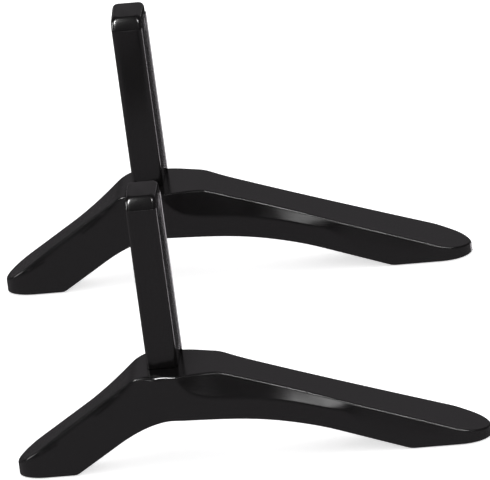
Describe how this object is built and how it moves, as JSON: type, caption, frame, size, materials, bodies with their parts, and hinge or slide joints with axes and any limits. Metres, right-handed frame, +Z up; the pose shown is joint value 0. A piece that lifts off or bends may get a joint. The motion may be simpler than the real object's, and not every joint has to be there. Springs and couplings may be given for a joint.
{
  "type": "television stand leg pair",
  "caption": "Pair of arched black stand legs for a television, each a short and a long arm on rubber pads with a hollow upright neck.",
  "frame": {"origin": "on the floor, at the middle of the pair's bounding box", "axes": "+X along the feet towards the tips of the long arms, +Y from the left leg to the right leg, +Z up"},
  "size_m": [0.2714, 0.2506, 0.1531],
  "materials": {
    "satin_black": "satin black, fine orange peel",
    "moulded_black": "fine spark texture",
    "zinc_steel": "zinc plated",
    "black_screw": "black zinc",
    "pad_rubber": "matte"
  },
  "bodies": {
    "left_leg": {"left_foot_shell": "satin_black", "left_stiffener_plate": "zinc_steel", "left_bottom_cover": "moulded_black", "left_cover_screw_1": "black_screw", "left_cover_screw_2": "black_screw", "left_cover_screw_3": "black_screw", "left_short_arm_pad": "pad_rubber", "left_long_arm_pad": "pad_rubber", "left_neck_core": "zinc_steel", "left_neck_front_cover": "satin_black", "left_neck_rear_cover": "satin_black", "left_neck_bolt_1": "zinc_steel", "left_neck_bolt_2": "zinc_steel", "left_lower_insert": "zinc_steel", "left_upper_insert": "zinc_steel"},
    "right_leg": {"right_foot_shell": "satin_black", "right_stiffener_plate": "zinc_steel", "right_bottom_cover": "moulded_black", "right_cover_screw_1": "black_screw", "right_cover_screw_2": "black_screw", "right_cover_screw_3": "black_screw", "right_short_arm_pad": "pad_rubber", "right_long_arm_pad": "pad_rubber", "right_neck_core": "zinc_steel", "right_neck_front_cover": "satin_black", "right_neck_rear_cover": "satin_black", "right_neck_bolt_1": "zinc_steel", "right_neck_bolt_2": "zinc_steel", "right_lower_insert": "zinc_steel", "right_upper_insert": "zinc_steel"}
  },
  "joints": [
    {"name": "leg_spacing", "type": "slide", "parent": "left_leg", "child": "right_leg", "axis": [0, 1, 0], "range_m": [-0.15, 0.65]}
  ]
}
